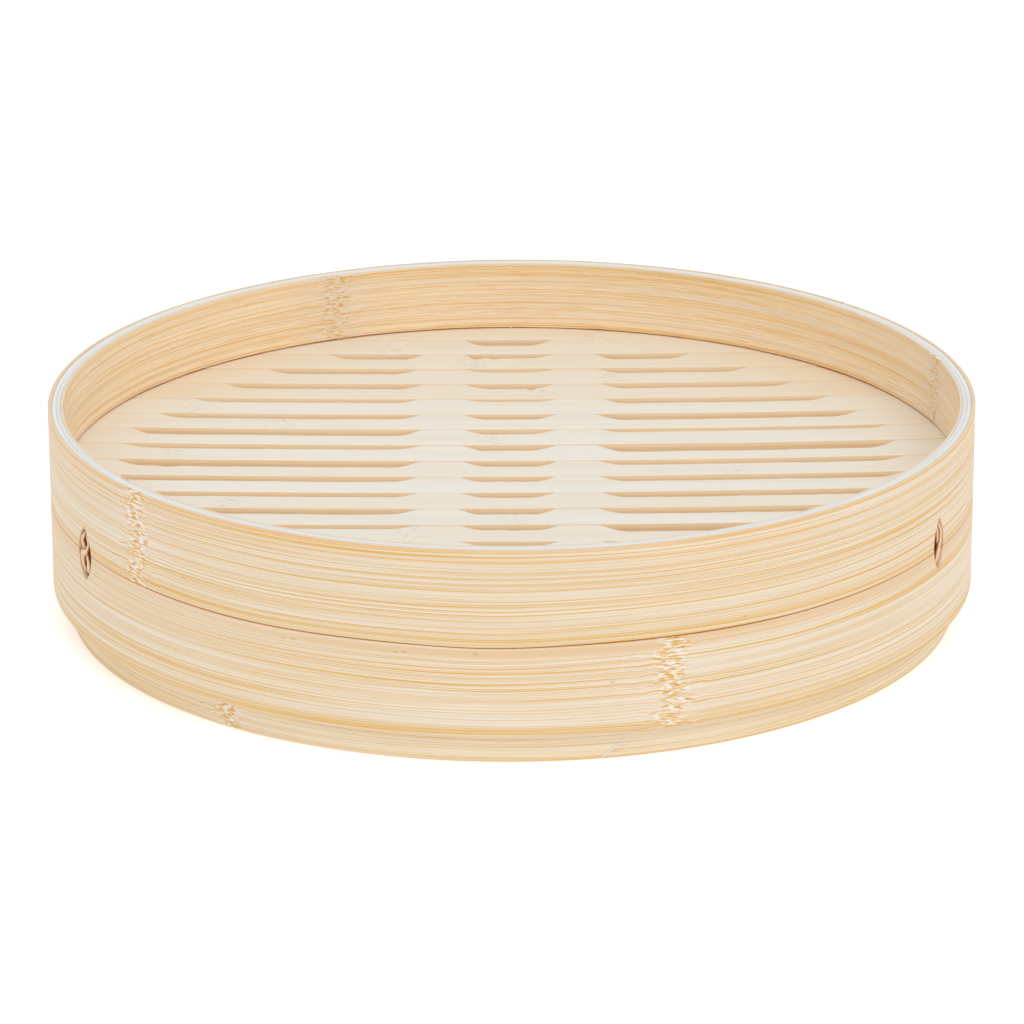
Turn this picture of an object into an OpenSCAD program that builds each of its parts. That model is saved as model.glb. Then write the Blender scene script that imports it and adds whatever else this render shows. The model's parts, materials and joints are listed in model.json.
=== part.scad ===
// Bamboo steamer basket: one stacking tier, without its lid.
// Millimetres. The origin is the centre of the foot's bottom edge, +Z is up and -Y is the front.
// The wall is thin bamboo strips wound into hoops, one inside the other. The foot is the innermost
// strip: it stands out below the wall and drops into the rim of the tier below.

/* [Basket] */
// Outside diameter
outer_d = 300; // [280:1:320]
// Height from the foot's bottom edge to the rim
height = 70; // [66:0.5:80]
// Height of the seam between the two outer bands
seam_z = 40; // [38:0.5:42]
// Height of the wall's bottom edge, which rests on the rim of the tier below
step_z = 10.5; // [8:0.5:14]

/* [Hoops] */
// Thickness of each outer band
band_t = 1.4; // [1.2:0.05:1.6]
// Thickness of each of the two pale core hoops
core_t = 1.35; // [1.2:0.05:1.6]
// Thickness of the hoop that lines the wall above the floor
lining_t = 0.9; // [0.8:0.05:1.2]
// Thickness of the foot hoop where it stands out below the wall
foot_t = 2.5; // [2.2:0.1:3.5]
// How much thinner the foot hoop is inside the wall
foot_shoulder = 0.7; // [0.6:0.05:1]
// Radial clearance of the foot inside the rim of the tier below
nest_gap = 0.8; // [0.5:0.05:1.2]
// Glue line between one hoop and the next
glue_gap = 0.05; // [0.03:0.01:0.08]
// Angle of a hoop's bevelled ends to the hoop
scarf_angle = 8; // [8:1:20]
// Width of the joint between a hoop's two bevelled ends
scarf_gap = 0.15; // [0.1:0.05:0.3]

/* [Floor] */
// Height of the floor's upper face
floor_z = 46.5; // [45:0.5:50]
// Width of one slat, with its share of the gaps
slat_w = 15.75; // [15:0.25:17]
// Width of the rearmost slat at its middle
rear_slat_w = 13.6; // [12:0.2:15]
// Thickness of one slat
slat_t = 3; // [2.5:0.25:3.5]
// Gap between two slats
slat_gap = 0.12; // [0.06:0.02:0.2]
// Width of a cross bar under the slats
bar_w = 12; // [10:0.5:14]
// Height of a cross bar
bar_h = 5; // [4:0.5:6]
// Distance of each cross bar from the middle
bar_x = 22.75; // [21:0.25:24]

/* [Steam slots] */
// Half the length of a middle slot
mid_slot_half = 15.5; // [12:0.5:15.5]
// Distance from the middle to where the side slots begin
side_slot_start = 29; // [28:0.5:34]
// How far all the slots lie to the right of the middle
slot_shift = -1; // [-1:0.5:1]
// Radius of the circle on which the side slots end
slot_circle_r = 128; // [118:0.5:130]
// Length over which a slot's ends narrow to nothing
slot_taper = 7; // [3:0.5:7]
// Depth of the slots cut in each joint between slats, from the back to the front
slot_depths = [6.4, 4.9, 4.2, 4.8, 3.6, 5.1, 4.7, 5.2, 5.2, 4.8, 4.6, 5.2, 4.7, 4.6, 4.8, 4.6, 5, 4.6];

/* [Laces] */
// Directions of the three laces, in degrees from +X
lace_az = [-153.5, -27, 90];
// Height of each lace's middle
lace_z = [39.6, 41.8, 41];
// Height of the lens-shaped window that a lace fills
window_h = 18; // [17:0.5:18]
// Width of that window
window_w = 10; // [9.5:0.5:10]
// Height of a lace's winding
lace_h = 13; // [12.5:0.5:13]
// Width of the lace's strip
strip_w = 1.9; // [1.6:0.1:2]
// Thickness of the lace's strip
strip_t = 0.6; // [0.5:0.05:0.6]

/* [Hidden] */
$fn = 180;
wall_r = outer_d / 2;
core_outer_r = wall_r - band_t;
core_inner_r = core_outer_r - core_t;
lining_r = core_inner_r - core_t;
bore_r = lining_r - lining_t;
foot_r = bore_r - nest_gap;
foot_bore_r = foot_r - foot_t;
foot_neck_r = foot_r - foot_shoulder;
slat_end_r = lining_r - glue_gap;
slat_z = floor_z - slat_t;
slat_count = 1 + round((2 * slat_end_r - rear_slat_w) / slat_w);
bar_z = slat_z - bar_h;
bar_end_r = foot_neck_r;
fit = 0.05;           // clearance of a cross bar in its notches, each side
over = 1;             // how far a cutting shape runs past what it cuts
scarf_l = 30;         // length of the thin cut that makes a bevelled joint
foot_cut_az = -74.2;  // where the foot's diagonal joint meets the wall's bottom edge
foot_cut_slant = 52;  // slant of that joint, from upright
foot_cut_reach = 10;  // how far that cut runs past the foot's inner and outer faces
hole_r = 3.2;         // holes through the outer core hoop, for a lace
hole_rise = 5.1;      // height of each hole above and below the lace's middle
return_w = 6.4;       // width of the slot behind the holes, where the lace turns back
taper_steps = 5;      // straight pieces in the curve at a slot's end

// Joints between a hoop's ends, in degrees from +X: most are at the back, where they don't show
upper_band_joint = 76;
lower_band_joint = 104;
core_outer_joint = 58;
core_inner_joint = 122;
lining_joint = -96;
packing_joint = 150;

function two_digits(i) = i < 10 ? str("0", i) : str(i);
function slat_name(i) = str("slat_", two_digits(i));
LACES = ["lace_left", "lace_right", "lace_back"];

// A closed hoop from height z0 to z1
module hoop(inner_r, outer_r, z0, z1) {
    translate([0, 0, z0]) difference() {
        cylinder(r = outer_r, h = z1 - z0);
        translate([0, 0, -over]) cylinder(r = inner_r, h = z1 - z0 + 2 * over);
    }
}

// The thin slanting cut between a hoop's two bevelled ends
module scarf_cut(joint_az, middle_r) {
    rotate([0, 0, joint_az]) translate([middle_r, 0, 0]) rotate([0, 0, scarf_angle])
        translate([-scarf_gap / 2, -scarf_l / 2, -over]) cube([scarf_gap, scarf_l, height + 2 * over]);
}

// A hoop as it is made: one strip, bent round, with its bevelled ends joined
module wound_strip(inner_r, outer_r, z0, z1, joint_az) {
    difference() {
        hoop(inner_r, outer_r, z0, z1);
        scarf_cut(joint_az, (inner_r + outer_r) / 2);
    }
}

// Places its children at each lace, with +Z outward and +Y up
module at_laces() {
    for (k = [0:2]) rotate([0, 0, lace_az[k]]) translate([0, 0, lace_z[k]]) rotate([90, 0, 90]) children();
}

// Lens-shaped windows through the outer bands: two arcs that meet in points at top and bottom
module lace_windows() {
    lens_r = (window_w * window_w + window_h * window_h) / (4 * window_w);
    at_laces() translate([0, 0, core_outer_r - over]) intersection_for (side = [-1, 1])
        translate([side * (lens_r - window_w / 2), 0, 0]) cylinder(r = lens_r, h = band_t + 2 * over);
}

// Two holes above one another at each lace, through the outer core hoop
module lace_holes() {
    at_laces() for (side = [-1, 1])
        translate([0, side * hole_rise, core_inner_r - over]) cylinder(r = hole_r, h = core_t + 2 * over, $fn = 48);
}

// A slot at each lace, through the inner core hoop, where the strip turns back behind the holes
module lace_returns() {
    at_laces() translate([-return_w / 2, -hole_rise - hole_r, lining_r - over])
        cube([return_w, 2 * (hole_rise + hole_r), core_t + 2 * over]);
}

module upper_outer_band() {
    color("#f0deba") difference() {
        wound_strip(core_outer_r + glue_gap, wall_r, seam_z + glue_gap, height, upper_band_joint);
        lace_windows();
    }
}

module lower_outer_band() {
    color("#eed8b2") difference() {
        wound_strip(core_outer_r + glue_gap, wall_r, step_z, seam_z, lower_band_joint);
        lace_windows();
    }
}

module core_hoop_outer() {
    color("#eef0ee") difference() {
        wound_strip(core_inner_r + glue_gap, core_outer_r, step_z, height, core_outer_joint);
        lace_holes();
    }
}

module core_hoop_inner() {
    color("#e6e6e4") difference() {
        wound_strip(lining_r + glue_gap, core_inner_r, step_z, height, core_inner_joint);
        lace_returns();
    }
}

module upper_lining_hoop() {
    color("#efd3a6") wound_strip(bore_r, lining_r, floor_z, height, lining_joint);
}

module lower_packing_hoop() {
    color("#e6cfa6") wound_strip(foot_neck_r + glue_gap, lining_r, step_z, slat_z, packing_joint);
}

// The foot's ends meet on a diagonal, which shows below the wall
module foot_cut() {
    rotate([0, 0, foot_cut_az]) translate([foot_bore_r - foot_cut_reach, 0, step_z])
        rotate([-foot_cut_slant, 0, 0]) translate([0, -scarf_gap / 2, -height])
        cube([foot_t + 2 * foot_cut_reach, scarf_gap, 2 * height]);
}

module foot_hoop() {
    profile = [
        [foot_bore_r, 0], [foot_r, 0], [foot_r, step_z],
        [foot_neck_r, step_z], [foot_neck_r, slat_z], [foot_bore_r, slat_z]
    ];
    color("#f0dcb8") difference() {
        rotate_extrude() polygon(profile);
        foot_cut();
        for (side = [-1, 1]) translate([side * bar_x, 0, bar_z + height / 2])
            cube([bar_w + 2 * fit, outer_d, height], center = true);
    }
}

module cross_bar(x) {
    color("#e4c896") intersection() {
        translate([x - bar_w / 2, -wall_r, bar_z]) cube([bar_w, outer_d, bar_h]);
        translate([0, 0, bar_z]) cylinder(r = bar_end_r, h = bar_h);
    }
}

// A steam slot along the edge y = 0: straight on that edge, scooped to its depth, with eased ends
module slot_outline(x0, x1, depth) {
    ease = [for (s = [0:taper_steps]) [slot_taper * s / taper_steps, -depth * sin(90 * s / taper_steps)]];
    polygon(concat(
        [[x0, over]],
        [for (p = ease) [x0 + p[0], p[1]]],
        [for (s = [taper_steps:-1:0]) [x1 - ease[s][0], ease[s][1]]],
        [[x1, over]]
    ));
}

// The slots in one joint between slats: one in the middle, and one each side where the circle leaves room
module joint_slots(joint_y, depth) {
    reach = slot_circle_r > abs(joint_y) ? sqrt(slot_circle_r * slot_circle_r - joint_y * joint_y) : 0;
    slot_outline(-mid_slot_half, mid_slot_half, depth);
    if (reach > side_slot_start + 3 * slot_taper) for (side = [0, 1]) mirror([side, 0])
        slot_outline(side_slot_start, reach, depth);
}

// Where a slat's rear edge meets the one behind it
function rear_joint_y(i) = slat_end_r - rear_slat_w - slat_w * (i - 2);

// One slat of the floor, counted from the back. The slots are cut in its rear edge. The first and the
// last slat run on to the wall.
module slat(i) {
    rear_y = i == 1 ? wall_r : rear_joint_y(i);
    front_y = i == slat_count ? -wall_r : rear_joint_y(i + 1) + slat_gap;
    color(i % 2 == 0 ? "#f2e2c4" : "#f5e6cb") difference() {
        intersection() {
            translate([-wall_r, front_y, slat_z]) cube([outer_d, rear_y - front_y, slat_t]);
            translate([0, 0, slat_z]) cylinder(r = slat_end_r, h = slat_t);
        }
        if (i > 1) translate([slot_shift, rear_y, slat_z - over]) linear_extrude(slat_t + 2 * over)
            joint_slots(rear_y, slot_depths[(i - 2) % len(slot_depths)]);
    }
}

// A lace is one strip wound twice through the two holes: out of the upper hole, across the window to
// the lower one, and back up behind. The two outer runs bulge apart and cross in the middle, one over
// the other. Angle t runs from 0 to 720, and each 360 is one turn: its first half is outside.
lace_sink = 0.42;     // depth of the outer runs' middle line below the face of the band, at their crossing
lace_back_gap = 0.12; // clearance between the inner runs and the back of the outer core hoop
outer_run_r = wall_r - strip_t / 2 - lace_sink;
inner_run_r = core_inner_r - strip_t / 2 - lace_back_gap;
strand_side = 1.1;    // how far each run is from the middle where it passes through a hole
bulge = 1.45;         // how much further the outer runs bulge
lift = 0.34;          // how far one outer run passes over or under the other
legs = 0.35;          // below 1, it squares the winding, so that the legs run straight in and out
edge_square = 0.6;    // below 1, it squares the strip's section
lace_rings = 36;      // rings of points in one turn of a lace
ring_sides = 8;       // points in one ring

function signed_power(v, e) = sign(v) * pow(abs(v), e);
function turn_side(t) = t < 360 ? -1 : 1;
function run_offset(t) = sin(t) >= 0
    ? turn_side(t) * (strand_side * cos(t) + bulge * sin(2 * t))
    : -turn_side(t) * strand_side;
function run_r(t) = (outer_run_r + inner_run_r) / 2
    + (outer_run_r - inner_run_r) / 2 * signed_power(sin(t), legs)
    + (sin(t) > 0 ? turn_side(t) * lift * pow(sin(t), 4) : 0);
function lace_point(t) = [run_offset(t), lace_h / 2 * cos(t), run_r(t)];
function unit(v) = v / norm(v);
function lace_ring(t) =
    let (
        step = 180 / lace_rings,
        along = unit(lace_point(t + step) - lace_point(t - step)),
        out = [0, cos(t) / lace_h, sin(t) / (outer_run_r - inner_run_r)],
        across = unit(cross(along, out)),
        up = cross(across, along)
    )
    [for (j = [0:ring_sides - 1]) let (a = (j + 0.5) * 360 / ring_sides) lace_point(t)
        + across * strip_w / 2 * signed_power(cos(a), edge_square)
        + up * strip_t / 2 * signed_power(sin(a), edge_square)];

// The ring's point p has its sideways offset at the radius p.z, so it is bent round the wall
function bent(p) = [p.z * cos(p.x / wall_r * 180 / PI), p.z * sin(p.x / wall_r * 180 / PI), p.y];

module lace(k) {
    rings = 2 * lace_rings;
    points = [for (n = [0:rings - 1]) each [for (p = lace_ring(n * 360 / lace_rings)) bent(p)]];
    faces = [for (n = [0:rings - 1], j = [0:ring_sides - 1])
        let (this = ring_sides * n, next = ring_sides * ((n + 1) % rings), k = (j + 1) % ring_sides)
        [this + j, this + k, next + k, next + j]];
    color("#dcb987") rotate([0, 0, lace_az[k]]) translate([0, 0, lace_z[k]]) polyhedron(points, faces);
}

upper_outer_band();
lower_outer_band();
core_hoop_outer();
core_hoop_inner();
upper_lining_hoop();
lower_packing_hoop();
foot_hoop();
cross_bar(-bar_x);  // cross_bar_left
cross_bar(bar_x);  // cross_bar_right
for (i = [1:slat_count]) slat(i);
for (k = [0:2]) lace(k);
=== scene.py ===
import json
import math

import bmesh
import bpy
import numpy as np
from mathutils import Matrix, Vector


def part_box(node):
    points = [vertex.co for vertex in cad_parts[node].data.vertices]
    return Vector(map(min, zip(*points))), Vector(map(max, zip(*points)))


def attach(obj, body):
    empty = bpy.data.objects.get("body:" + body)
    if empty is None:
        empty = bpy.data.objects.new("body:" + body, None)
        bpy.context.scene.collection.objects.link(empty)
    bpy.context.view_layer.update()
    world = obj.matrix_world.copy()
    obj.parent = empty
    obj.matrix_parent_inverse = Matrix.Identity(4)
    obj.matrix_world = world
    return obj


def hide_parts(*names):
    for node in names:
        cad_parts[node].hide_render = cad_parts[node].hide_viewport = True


# A bamboo steamer tier. Every piece of the real basket is an object of its own: bamboo strips wound
# into hoops, the slats of the floor with the steam slots cut in their edges, two cross bars and three
# laces. Shapes and materials are worked out in millimetres, in the frame of the CAD model, and turned
# into metres when a mesh is made.

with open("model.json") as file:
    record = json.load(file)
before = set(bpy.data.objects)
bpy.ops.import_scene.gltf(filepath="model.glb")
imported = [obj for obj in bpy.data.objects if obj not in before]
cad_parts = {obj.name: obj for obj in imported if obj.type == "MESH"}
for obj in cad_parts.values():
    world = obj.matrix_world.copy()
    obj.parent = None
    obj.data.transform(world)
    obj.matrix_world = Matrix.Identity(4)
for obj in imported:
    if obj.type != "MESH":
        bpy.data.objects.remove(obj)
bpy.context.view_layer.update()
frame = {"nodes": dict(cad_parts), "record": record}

MM = 0.001
BODY = "root"
RECORD = frame["record"]
MOUNTS = {mount["name"]: mount for mount in RECORD["mounts"]}


def node_radius(node):
    """The outside radius of a CAD node, in millimetres."""
    low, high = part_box(node)
    return (high.x - low.x) / 2 / MM


def node_levels(node):
    """The lowest and highest level of a CAD node, in millimetres."""
    low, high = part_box(node)
    return low.z / MM, high.z / MM


# Radii of the hoops, from the outside in
WALL_R = RECORD["size"]["bbox_m"][0] / 2 / MM
CORE_OUTER_R = node_radius("core_hoop_outer")
CORE_INNER_R = node_radius("core_hoop_inner")
LINING_R = node_radius("upper_lining_hoop")
BORE_R = MOUNTS["rim_socket"]["dims"]["r_mm"]
FOOT_R = MOUNTS["foot_spigot"]["dims"]["r_mm"]
FOOT_STEP = MOUNTS["foot_spigot"]["dims"]["length_mm"]
# The foot's thickness, and how far it steps in where it enters the wall
FOOT_T = 2.5
FOOT_SHOULDER = 0.7
FOOT_NECK_R = FOOT_R - FOOT_SHOULDER
# The gap between two strips that are glued together
GLUE = 0.05

# Joints of the hoops, in degrees from +X, and the bamboo's own knots on each strip
UPPER_BAND_JOINT = 76
LOWER_BAND_JOINT = 104
CORE_OUTER_JOINT = 58
CORE_INNER_JOINT = 122
LINING_JOINT = -96
PACKING_JOINT = 150
FOOT_JOINT = -74.2
UPPER_BAND_KNOTS = [219.4, 400]
LOWER_BAND_KNOTS = [131, 288.7, 444]
LINING_KNOTS = [14.4, 115, 214]
FOOT_KNOTS = [82, 232.3]
# Run of an end's bevel to its depth, the gap between two ends, and run to rise of the foot's slant
BEVEL = 7.1
SCARF_GAP = 0.05
FOOT_SLANT = 1.28

# Laces, and the windows, holes and returns they pass through
LACES = {"left": (-153.5, 39.6), "right": (-27.0, 41.8), "back": (90.0, 41.0)}
LACE_H = 13
WINDOW_H = 18
# Each window's width, and how far its middle is to the right of the lace's
WINDOWS = {"left": (10.0, 0.0), "right": (7.5, 0.6), "back": (10.0, 0.0)}
# The two holes in the outer core strip, above and below the seam, and the slot in the inner one
HOLE_R = 3.2
HOLE_RISE = 5.1
RETURN_W = 6.4

# Floor: half the middle slots' length, where the side slots start, how far to the right all slots
# sit, the circle on which the side slots end, and the length of a slot's eased end
SLAT_NODES = sorted(name for name in frame["nodes"] if name.startswith("slat_"))
SLOT_MIDDLE_HALF = 15.5
SLOT_SIDE_START = 29
SLOT_SHIFT = -1.0
SLOT_CIRCLE_R = 129
SLOT_TAPER = 8.0
# How far the slats and the bars sag in the middle under their own spring, and where the sag ends
FLOOR_SAG = 1.7
SAG_R = 143

# How much light falls on the basket: a white surface would look this bright
LIGHT_LEVEL = 1.17


# -------- shader nodes


class Wire:
    """A value worked out by a material's nodes. Arithmetic on it adds Math nodes."""

    def __init__(self, output):
        self.output = output
        self.tree = output.id_data

    def math(self, operation, other=None):
        node = self.tree.nodes.new("ShaderNodeMath")
        node.operation = operation
        plug(node.inputs[0], self)
        if other is not None:
            plug(node.inputs[1], other)
        return Wire(node.outputs[0])

    def __add__(self, other):
        return self.math("ADD", other)

    def __sub__(self, other):
        return self.math("SUBTRACT", other)

    def __mul__(self, other):
        return self.math("MULTIPLY", other)

    def distance(self, other):
        return (self - other).math("ABSOLUTE")


def plug(socket, value):
    """Sets a socket to a number or colour, or links it to a Wire."""
    if isinstance(value, Wire):
        socket.id_data.links.new(value.output, socket)
    else:
        socket.default_value = value


def tint(red, green, blue):
    """A colour as it is seen in the studio's light, 0 to 255, as the shader's linear colour."""
    seen = [value / 255 for value in (red, green, blue)]
    return tuple(((v + 0.055) / 1.055) ** 2.4 / LIGHT_LEVEL for v in seen) + (1.0,)


def noise(u, v, seed, detail=2.0):
    """Noise between 0 and 1 whose grains are one unit of u and v in size."""
    tree = (u if isinstance(u, Wire) else v).tree
    point = tree.nodes.new("ShaderNodeCombineXYZ")
    for socket, value in zip(point.inputs, (u, v, seed)):
        plug(socket, value)
    node = tree.nodes.new("ShaderNodeTexNoise")
    node.inputs["Scale"].default_value = 1.0
    node.inputs["Detail"].default_value = detail
    tree.links.new(point.outputs[0], node.inputs["Vector"])
    return Wire(node.outputs["Fac"])


def grained(along, across, grain, seed, detail=2.0):
    """Noise with a given fineness along and across a strip, in grains per millimetre."""
    return noise(along * grain[0], across * grain[1], seed, detail=detail)


def rise_between(value, low, high):
    """0 below low, 1 above high, and a smooth rise between."""
    node = value.tree.nodes.new("ShaderNodeMapRange")
    node.interpolation_type = "SMOOTHSTEP"
    plug(node.inputs["Value"], value)
    plug(node.inputs["From Min"], low)
    plug(node.inputs["From Max"], high)
    return Wire(node.outputs["Result"])


def mixed(factor, first, second):
    """One colour laid over another."""
    node = factor.tree.nodes.new("ShaderNodeMix")
    node.data_type = "RGBA"
    plug(node.inputs[0], factor)
    plug(node.inputs[6], first)
    plug(node.inputs[7], second)
    return Wire(node.outputs[2])


def scaled(colour, factor):
    """A colour made lighter or darker."""
    node = colour.tree.nodes.new("ShaderNodeVectorMath")
    node.operation = "SCALE"
    plug(node.inputs[0], colour)
    plug(node.inputs["Scale"], factor)
    return Wire(node.outputs[0])


def xyz(output):
    """The three parts of a node's vector output."""
    tree = output.id_data
    parts = tree.nodes.new("ShaderNodeSeparateXYZ")
    tree.links.new(output, parts.inputs[0])
    return [Wire(part) for part in parts.outputs]


def uv_mm(tree, layer):
    """The two coordinates of a UV layer, in millimetres."""
    source = tree.nodes.new("ShaderNodeUVMap")
    source.uv_map = layer
    return [part * (1 / MM) for part in xyz(source.outputs[0])[:2]]


def own_value(tree, name):
    """A number stored on the mesh."""
    source = tree.nodes.new("ShaderNodeAttribute")
    source.attribute_name = name
    return Wire(source.outputs["Fac"])


def upward(tree):
    """How far the surface faces up: 1 on top, 0 on a side."""
    return xyz(tree.nodes.new("ShaderNodeNewGeometry").outputs["Normal"])[2]


def new_material(name):
    material = bpy.data.materials.new(name)
    material.use_nodes = True
    return material, material.node_tree


def finish_material(material, colour, roughness, height, specular=0.35):
    """Links the colour, roughness and bump height, in millimetres, to the shader."""
    tree = material.node_tree
    shader = tree.nodes["Principled BSDF"]
    shader.inputs["Specular IOR Level"].default_value = specular
    bump = tree.nodes.new("ShaderNodeBump")
    bump.inputs["Distance"].default_value = MM
    plug(bump.inputs["Height"], height)
    plug(shader.inputs["Base Color"], colour)
    plug(shader.inputs["Roughness"], roughness)
    tree.links.new(bump.outputs[0], shader.inputs["Normal"])
    return material


# -------- materials

CREAM = tint(237, 224, 201)
BLUSH = tint(234, 214, 187)
PALE = tint(244, 232, 222)
HONEY = tint(229, 177, 72)
AMBER = tint(238, 188, 118)
BISCUIT = tint(232, 198, 155)
WHITE_FIBRE = tint(250, 245, 240)
UMBER = tint(176, 116, 66)
# Painted shade in the pockets round the laces
LACE_POCKET_SHADE = tint(206, 116, 58)
# Painted shade in the seam's gap between the bands, on the core strip that shows through it
SEAM_GAP_SHADE = tint(240, 142, 62)
# Painted shade on the bands' edges at the seam
SEAM_EDGE_SHADE = tint(222, 160, 98)
FLECK = tint(150, 116, 88)
RIM_TAN = tint(246, 222, 188)
# Painted shade in the gap under the lining's lower edge, on the lining and on the core strip behind
LINING_GAP_SHADE = tint(258, 190, 116)
TIP_BROWN = tint(216, 154, 88)

# How fine each feature of the bamboo's skin is, along and across the strip, in grains per millimetre
SWAY_GRAIN = (0.014, 0.08)
WIGGLE_GRAIN = (0.16, 0.4)
STREAK_GRAIN = (0.004, 3.3)
CROWD_GRAIN = (0.006, 0.25)
THIN_GRAIN = (0.006, 5.0)
LIGHT_GRAIN = (0.006, 2.6)
BROAD_GRAIN = (0.0035, 0.25)
FIBRE_GRAIN = (0.03, 6.0)
PATCH_GRAIN = (0.01, 0.9)
# The two zigzags of a knot: how fine each is up the strip, and how far it swings, in millimetres
KNOT_ZIGZAGS = ((0.16, 14.0), (0.7, 9.0))
# How far from a knot its broken fibres and its bent streaks reach: gone at the first, full at the second
KNOT_REACH = (6.5, 2.5)
BEND_REACH = (22.0, 5.0)
# How much the pattern's seed changes from one side of a knot to the other
SEED_STEP = 7.3
# How far past a strip's edge its tinted zones go
PAST_EDGE = 2.0
# How far a core strip's painted shade reaches from a lace: full at the first distance, gone at the second
POCKET_SHADE_ACROSS = (5.0, 6.5)
POCKET_SHADE_UP = (9.0, 11.0)
# How far a core strip's line of painted shade reaches from its level, likewise
CORE_GAP_SHADE = (1.3, 1.8)
# Half the width that every lace has in its material's coordinates, and where the painted shade along its
# sides begins
LACE_HALF = 1.3
LACE_SIDE_SHADE = (0.8, 1.15)


def knot_colour(along, rise, seed, base):
    """The broken, slanting fibres of a knot: white and amber shards and a few brown ones."""
    shard = noise(along * 0.4 + rise * 0.2, rise * 1.5, seed, detail=2.0)
    colour = mixed(rise_between(shard, 0.54, 0.59), base, WHITE_FIBRE)
    colour = mixed(rise_between(shard, 0.49, 0.43), colour, HONEY)
    return mixed(rise_between(shard, 0.34, 0.28), colour, UMBER), shard


def zone_mask(rise, low, high, soft):
    """1 between two heights across the strip, with soft sides."""
    return rise_between(rise, low - soft, low + soft) * rise_between(rise, high + soft, high - soft)


def zigzagged(arc, rise, seed):
    """The place along a strip, shaken from side to side so that the knots are ragged."""
    (slow, wide), (quick, narrow) = KNOT_ZIGZAGS
    big = (noise(rise * slow, 0.0, seed + 40.0) - 0.5) * wide
    small = (noise(rise * quick, 0.0, seed + 41.0) - 0.5) * narrow
    return arc - (big + small)


def knot_masks(along, knots, seed):
    """The knots' broken fibres, the bent streaks near them, and a seed for each length between them."""
    side = along * 0.0 + seed
    knot = along * 0.0
    near = along * 0.0
    for place in knots:
        gap = along.distance(place)
        side = side + rise_between(along, place - 0.5, place + 0.5) * SEED_STEP
        knot = knot + rise_between(gap, *KNOT_REACH)
        near = near + rise_between(gap, *BEND_REACH)
    return knot, near, side


def bevelled_end(colour, arc, rise, end, streak):
    """The end of a strip at a slanting joint: brown tips on the streaks, and a pale band along the cut that
    is painted highlight.
    """
    behind = arc - rise * end[0] + end[1]
    colour = mixed(rise_between(behind, 4.5, 1.5) * streak, colour, TIP_BROWN)
    # Painted highlight along the bevelled cut
    return mixed(rise_between(behind, 1.0, 0.6), colour, PALE)


def bamboo_skin(
    name, seed, knots, zones=(), streaks=1.0, colours=(CREAM, BLUSH, HONEY),
    marks=(), end=None, dashed=1.0, knot_depth=0.9,
):
    """Bamboo with its fibres along the strip: honey streaks, paler lines between, and knots at the
    given places along it, in millimetres. Zones are (from, to, softness, strength, colour) across the
    strip, marks are small brown dashes at (along, rise), and end is the slant of a bevelled end.
    Dashed is how many times shorter than usual the thin streaks are, and knot_depth how strong the
    colours of the knots are."""
    base, blush, honey = colours
    material, tree = new_material(name)
    arc, rise = uv_mm(tree, "strip")
    along = zigzagged(arc, rise, seed)
    knot, near, side = knot_masks(along, knots, seed)
    sway = grained(arc, rise, SWAY_GRAIN, seed + 1.0) - 0.5
    wiggle = (grained(arc, rise, WIGGLE_GRAIN, seed + 2.0) - 0.5) * near * 2.0
    lane = rise + sway + wiggle
    thin_grain = (THIN_GRAIN[0] * dashed, THIN_GRAIN[1])
    streak = rise_between(grained(arc, lane, STREAK_GRAIN, side + 3.0, detail=1.0), 0.575, 0.61)
    crowd = rise_between(grained(arc, rise, CROWD_GRAIN, side + 5.0), 0.36, 0.6)
    thin = rise_between(grained(arc, lane, thin_grain, side + 7.0), 0.54, 0.61)
    light = rise_between(grained(arc, lane, LIGHT_GRAIN, side + 9.0), 0.53, 0.61)
    broad = rise_between(grained(arc, rise, BROAD_GRAIN, side + 11.0), 0.4, 0.62)
    fibre = grained(arc, lane, FIBRE_GRAIN, side + 13.0, detail=3.0)
    colour = mixed(broad * 0.6, base, blush)
    colour = mixed(near * 0.3, colour, PALE)
    colour = mixed(light * 0.6, colour, PALE)
    colour = mixed(thin * (crowd * 0.45 + 0.3) * streaks, colour, honey)
    colour = mixed(streak * (crowd * 0.3 + 0.7) * streaks, colour, honey)
    patchy = grained(arc, lane, PATCH_GRAIN, seed + 15.0) * 1.3 + streak * 0.3 - light * 0.3
    for low, high, soft, strength, shade in zones:
        cover = zone_mask(rise, low, high, soft) * patchy * strength
        colour = mixed(cover.math("MINIMUM", 1.0), colour, shade)
    for place, level in marks:
        dash = rise_between(arc.distance(place) * 0.7 + lane.distance(level) * 2.6, 1.0, 0.4)
        colour = mixed(dash * 0.45, colour, FLECK)
    broken, shard = knot_colour(along, rise, seed + 17.0, colour)
    colour = mixed(knot.math("MINIMUM", 1.0) * knot_depth, colour, broken)
    if end is not None:
        colour = bevelled_end(colour, arc, rise, end, streak)
    colour = scaled(colour, fibre * 0.14 + 0.93)
    height = fibre * 0.05 - streak * 0.02 + shard * knot * 0.15
    return finish_material(material, colour, fibre * 0.25 + 0.42, height)


def lining_skin(name, seed, knots, height_mm):
    """The inner face of the wall: a warmer tan with short streaks, an amber line and a paler edge at the
    rim, and a brown lower edge where it meets the slats, which is painted shade of the gap under it."""
    colours = (tint(268, 246, 212), tint(262, 238, 198), tint(252, 204, 126))
    zones = [
        (height_mm - 3.0, height_mm - 0.6, 0.8, 0.35, tint(250, 204, 128)),
        (height_mm - 0.2, height_mm + PAST_EDGE, 0.2, 1.6, tint(246, 230, 208)),
        # Painted shade along the lower edge, in the gap above the slats
        (-PAST_EDGE, 0.2, 0.2, 1.5, LINING_GAP_SHADE),
    ]
    return bamboo_skin(name, seed, knots, zones, 1.0, colours, dashed=14.0, knot_depth=0.6)


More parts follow.
